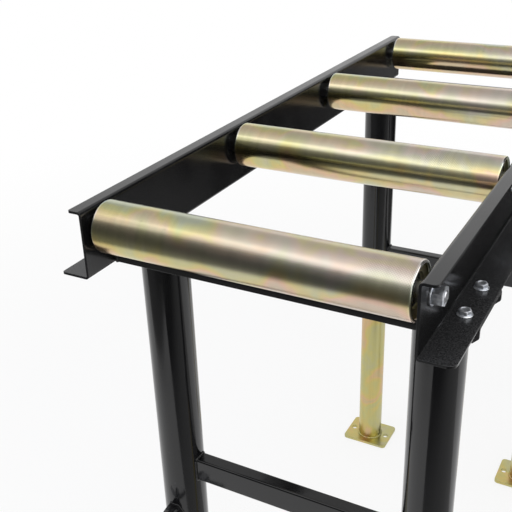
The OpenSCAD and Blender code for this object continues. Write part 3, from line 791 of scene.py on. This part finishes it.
bright_zinc = finished_material(
    "bright_zinc", zinc_skin, {"Bright": (0.92, 0.94, 0.98, 1), "Dull": (0.6, 0.63, 0.68, 1),
                               "Roughness": 0.36, "Cloud Scale": 260}, 0.00001, Metallic=1)
thread_chamfer = 0.001
axle_bore = 0.0121
nut_boxes = solid_boxes("axle_nuts")
low, high = nut_boxes[0]
fasteners("axle_hex_nuts", nut_shape(high.y - low.y, high.x - low.x, axle_bore, thread_chamfer),
          spots_along_x(nut_boxes), bright_zinc, "bright_zinc", "axle_nuts")
washer_boxes = solid_boxes("axle_washers")
low, high = washer_boxes[0]
washer_thick = high.x - low.x
washer_radius = (high.y - low.y) / 2
washer_bore_radius = 0.0063
round_off = 0.0003
fasteners("axle_flat_washers", turned_shape([
    (0, washer_bore_radius, 0), (0, washer_radius - round_off, 0), (round_off, washer_radius, 0),
    (washer_thick - round_off, washer_radius, 0), (washer_thick, washer_radius - round_off, 0),
    (washer_thick, washer_bore_radius, 0)], closed=True), spots_along_x(washer_boxes),
    bright_zinc, "bright_zinc", "axle_washers")

# Axles
# Turned steel shafts with a sleeve at each end, zinc plated. Their ends are threaded, go through the
# webs, and show at the mouths of the nuts.
plain_zinc = finished_material(
    "plain_zinc", zinc_skin, {"Bright": (0.6, 0.61, 0.63, 1), "Dull": (0.45, 0.46, 0.48, 1),
                              "Roughness": 0.3}, 0.00001, Metallic=1)
finish_nodes(plain_zinc, "axle_1", "axle_2", "axle_3", "axle_4", "axle_spacers")
ridge_share = 0.42
thread_tree, given, result = node_group(
    "screw_thread", "GeometryNodeTree",
    {"Geometry": ("Geometry", None), "Crest Radius": ("Float", 0.006), "Pitch": ("Float", 0.00175),
     "Length": ("Float", 0.01), "Material": ("Material", None)},
    {"Geometry": ("Geometry", None)})
turns = maths(thread_tree, "DIVIDE", given.outputs["Length"], given.outputs["Pitch"])
ridge = maths(thread_tree, "MULTIPLY", given.outputs["Pitch"], ridge_share)
root = maths(thread_tree, "SUBTRACT", given.outputs["Crest Radius"], ridge)
helix = add_node(thread_tree, "GeometryNodeCurveSpiral", {
    "Resolution": 32, "Rotations": turns, "Start Radius": root, "End Radius": root,
    "Height": given.outputs["Length"]})
section = add_node(thread_tree, "GeometryNodeCurvePrimitiveCircle", {"Resolution": 4, "Radius": ridge})
thread = add_node(thread_tree, "GeometryNodeCurveToMesh", {
    "Curve": helix.outputs[0], "Profile Curve": section.outputs["Curve"], "Fill Caps": True})
placed = add_node(thread_tree, "GeometryNodeInstanceOnPoints", {
    "Points": given.outputs["Geometry"], "Instance": thread.outputs[0],
    "Rotation": facing_outward(thread_tree)})
put_out(thread_tree, placed.outputs[0], given, result)


def threads(name, body, spots, crest_radius, length, material, slot):
    """One piece with a length of screw thread at each spot."""
    mesh = made_by_nodes(name, spot_mesh(name, spots), thread_tree, {
        "Crest Radius": crest_radius, "Length": length, "Material": material})
    new_piece(name, mesh, material, body, slot)


thread_proud = 0.0001
thread_cover = 1.6
nut_end_x = nut_boxes[-1][1].x
thread_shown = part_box("axle_1")[1].x - nut_end_x
axle_spots = []
for place, direction in spots_along_x(nut_boxes):
    axle_spots.append(((direction[0] * (nut_end_x - thread_shown), *place[1:]), direction))
threads("axle_threads", "frame", axle_spots, axle_bore / 2 - thread_proud, thread_shown * thread_cover,
        plain_zinc, "plain_zinc")

# Saddles
# Pressed channels under the rails, one on top of each leg, with their cheeks' corners cut. Two flange
# bolts hold each to its rail: bright plated, with a sloping flange and a dish in the head.
leg_names = ("front_left", "front_right", "rear_left", "rear_right")
leg_paint = finished_material(
    "leg_paint", paint_skin,
    {"Paint": (0.0055, 0.0055, 0.006, 1), "Speck": (0.06, 0.06, 0.06, 1), "Roughness": 0.12,
     "Grain Scale": 300, "Speck Scale": 45, "Speck Size": 0.03}, 0.00003, IOR=1.5)
saddle_edge = 0.0005
for leg in leg_names:
    eased_piece(f"pressed_saddle_{leg}", "frame", "rail_paint", rail_paint, saddle_edge, f"saddle_{leg}")
bolt_boxes = solid_boxes("saddle_bolts")
low, high = bolt_boxes[0]
bolt_down = flange_top - low.z
bolt_up = high.z - flange_top
bolt_shank = 0.004
bolt_flange = (high.x - low.x) / 2
bolt_flats = 0.012
bolt_corner = bolt_flats / sqrt(3)
bolt_face = bolt_flats / 2 * 0.93
bolt_thread_chamfer = 0.0008
head_chamfer = 0.0009
flange_lip = 0.0006
flange_rise = 0.0017
dish_depth = 0.0005
dish_radius = 0.004
dish_floor_radius = 0.003
bolt_shape = turned_shape([
    (-bolt_down, bolt_shank - bolt_thread_chamfer, 0), (bolt_thread_chamfer - bolt_down, bolt_shank, 0),
    (0, bolt_shank, 0), (0, bolt_flange - round_off, 0), (round_off, bolt_flange, 0),
    (flange_lip, bolt_flange, 0), (flange_lip + round_off, bolt_flange - round_off, 0),
    (flange_rise - round_off, bolt_corner + round_off, 0), (flange_rise, bolt_corner, bolt_flats),
    (bolt_up - head_chamfer, bolt_corner, bolt_flats),
    (bolt_up - head_chamfer / 2, (bolt_corner + bolt_flats / 2) / 2, bolt_flats),
    (bolt_up, bolt_face, 0), (bolt_up, dish_radius + round_off, 0),
    (bolt_up - round_off, dish_radius, 0), (bolt_up - dish_depth, dish_floor_radius, 0)])
bolt_spots = [((*middle_of(box).xy, flange_top), (0, 0, 1)) for box in bolt_boxes]
fasteners("flange_bolts", bolt_shape, bolt_spots, bright_zinc, "bright_zinc", "saddle_bolts")
bolt_nut_boxes = solid_boxes("saddle_nuts")
nut_spots = [((*middle_of(box).xy, box[1].z), (0, 0, -1)) for box in bolt_nut_boxes]
low, high = bolt_nut_boxes[0]
fasteners("flange_bolt_nuts", nut_shape(bolt_flats, high.z - low.z, 2 * bolt_shank, bolt_thread_chamfer),
          nut_spots, bright_zinc, "bright_zinc", "saddle_nuts", loosest_turn=pi / 3, seed=4)

# Outer legs
# Round tubes with a 4 mm wall, welded under the saddles and painted with the frame.
leg_edge = 0.0004
leg_bead = 0.0028
leg_rings = []


def ring_points(middle, radius, z, steps=64):
    """Points round a leg at one height."""
    return [(middle.x + radius * cos(2 * pi * i / steps), middle.y + radius * sin(2 * pi * i / steps), z)
            for i in range(steps)]


for leg in leg_names:
    eased_piece(f"outer_tube_{leg}", "frame", "leg_paint", leg_paint, leg_edge, f"outer_leg_{leg}")
    low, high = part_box(f"outer_leg_{leg}")
    leg_radius = (high.x - low.x) / 2
    leg_rings.append((ring_points(middle_of((low, high)), leg_radius, high.z), True))
weld("leg_top_welds", "frame", "leg_paint", leg_paint, leg_bead, leg_rings, seed=7)

# Braces
# A rectangular tube between the legs of each pair, its ends cut to fit round them and welded.
brace_edge = 0.0003
brace_corner = 0.003
brace_bead = 0.002
brace_paths = []
for end in ("front", "rear"):
    eased_piece(f"lower_brace_{end}", "frame", "leg_paint", leg_paint, brace_edge, f"brace_{end}")
    low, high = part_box(f"brace_{end}")
    middle = middle_of((low, high))
    for side in ("left", "right"):
        leg_middle = middle_of(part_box(f"outer_leg_{end}_{side}"))
        inward = 1 if side == "left" else -1
        path = []
        for corner_y, corner_z, start in ((high.y, high.z, 0), (low.y, high.z, 1), (low.y, low.z, 2),
                                          (high.y, low.z, 3)):
            centre_y = corner_y + brace_corner * (-1 if corner_y > middle.y else 1)
            centre_z = corner_z + brace_corner * (-1 if corner_z > middle.z else 1)
            for part in range(4):
                turn = (start + part / 3) * pi / 2
                y = centre_y + brace_corner * cos(turn)
                z = centre_z + brace_corner * sin(turn)
                x = leg_middle.x + inward * sqrt(leg_radius ** 2 - (y - leg_middle.y) ** 2)
                path.append((x, y, z))
        brace_paths.append((path, True))
weld("brace_welds", "frame", "leg_paint", leg_paint, brace_bead, brace_paths, seed=11)

# Clamp nuts
# Hexagon nuts welded to the outer tubes near their lower ends, for the clamp screws, and painted with
# them.
clamp_boxes = solid_boxes("clamp_nuts")
low, high = clamp_boxes[0]
clamp_flats = high.z - low.z
clamp_corner = clamp_flats / sqrt(3)
clamp_bore = 0.0124
clamp_bead = 0.0016
nut_sink = 0.003
parts_per_side = 6
clamp_spots = []
clamp_paths = []
for leg in leg_names:
    leg_low, leg_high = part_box(f"outer_leg_{leg}")
    leg_middle = middle_of((leg_low, leg_high))
    outward_y = -1 if leg.startswith("front") else 1
    low, high = next(box for box in clamp_boxes if leg_low.x < box[0].x < leg_high.x
                     and box[0].y * outward_y > 0)
    nut_z = (low.z + high.z) / 2
    nut_end_y = high.y if outward_y > 0 else low.y
    seat_y = leg_middle.y + outward_y * (leg_radius - nut_sink)
    clamp_spots.append(((leg_middle.x, seat_y, nut_z), (0, outward_y, 0)))
    path = []
    for corner in range(6):
        start = Vector((cos(corner * pi / 3), sin(corner * pi / 3)))
        stop = Vector((cos((corner + 1) * pi / 3), sin((corner + 1) * pi / 3)))
        for part in range(parts_per_side):
            x, z = start.lerp(stop, part / parts_per_side) * clamp_corner
            y = outward_y * sqrt(leg_radius ** 2 - x ** 2)
            path.append((leg_middle.x + x, leg_middle.y + y, nut_z + z))
    clamp_paths.append((path, True))
clamp_height = abs(nut_end_y - seat_y)
fasteners("clamp_hex_nuts", nut_shape(clamp_flats, clamp_height, clamp_bore, thread_chamfer),
          clamp_spots, leg_paint, "leg_paint", "clamp_nuts")
weld("clamp_nut_welds", "frame", "leg_paint", leg_paint, clamp_bead, clamp_paths, seed=13)

# Clamp screws
# Each has a turned head with a bar through it, and is zinc plated. Its thread shows between the nut
# and the head, and its tip bears on the inner leg.
screw_edge = 0.0002
screw_crest = 0.0063
head_len = 0.016
for leg, ((x, y, z), direction) in zip(leg_names, clamp_spots):
    eased_piece(f"turned_clamp_screw_{leg}", f"clamp_{leg}", "plain_zinc", plain_zinc, screw_edge,
                f"clamp_screw_{leg}")
    low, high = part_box(f"clamp_screw_{leg}")
    outward_y = direction[1]
    head_y = high.y - head_len if outward_y > 0 else low.y + head_len
    start_y = y + outward_y * clamp_height
    threads(f"clamp_thread_{leg}", f"clamp_{leg}", [((x, start_y, z), direction)], screw_crest,
            abs(head_y - start_y), plain_zinc, "plain_zinc")

# Inner legs and feet
# Tubes that slide in the outer ones, zinc plated and passivated yellow, each with a foot plate welded
# under it. A plate has two holes for floor bolts.
leg_plating = plated_material(
    "yellow_chromate_leg",
    {"Tone": (0.9, 0.87, 0.68, 1), "Thickness": 0.74, "Patchiness": 1.5, "Patch Scale": 22,
     "Stretch": (1, 1, 0.6), "Roughness": 0.3, "Seed": 3},
    {"Fine": (500, 500, 12), "Broad": (70, 70, 4)}, 0.00001)
foot_edge = 0.0006
foot_bead = 0.0024
for leg in leg_names:
    body = f"leg_{leg}"
    eased_piece(f"inner_tube_{leg}", body, "yellow_chromate_leg", leg_plating, leg_edge,
                f"inner_leg_{leg}")
    eased_piece(f"foot_plate_{leg}", body, "yellow_chromate_leg", leg_plating, foot_edge, f"foot_{leg}")
    low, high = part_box(f"inner_leg_{leg}")
    ring = ring_points(middle_of((low, high)), (high.x - low.x) / 2, low.z)
    weld(f"foot_weld_{leg}", body, "yellow_chromate_leg", leg_plating, foot_bead, [(ring, True)], seed=17)
